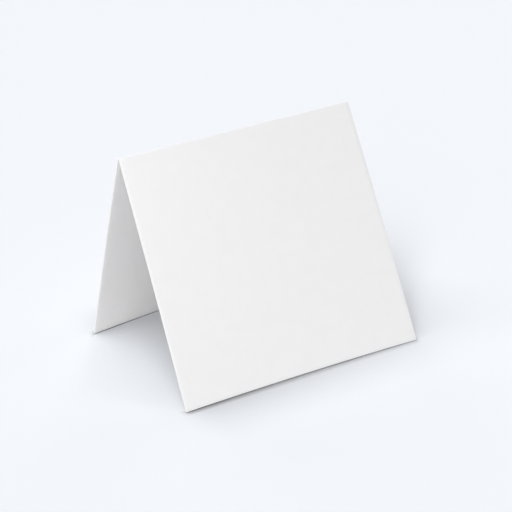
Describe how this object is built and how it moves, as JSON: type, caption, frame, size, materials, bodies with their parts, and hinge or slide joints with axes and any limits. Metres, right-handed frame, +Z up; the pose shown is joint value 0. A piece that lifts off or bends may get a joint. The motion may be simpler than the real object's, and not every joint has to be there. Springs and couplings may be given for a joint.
{
  "type": "folded sheet of card",
  "caption": "Blank sheet of thin white card, folded once across its middle and standing on its two cut edges as a tent.",
  "frame": {"origin": "on the table, midway between the two feet and midway along the fold", "axes": "+X along the fold, towards the wider open end; +Y across the fold, towards the rear panel; +Z up"},
  "size_m": [0.1, 0.0876, 0.089],
  "materials": {
    "white_card": "matte, uncoated, bright white on both faces and on the cut edges"
  },
  "bodies": {
    "root": {"folded_sheet": "white_card"}
  },
  "joints": []
}
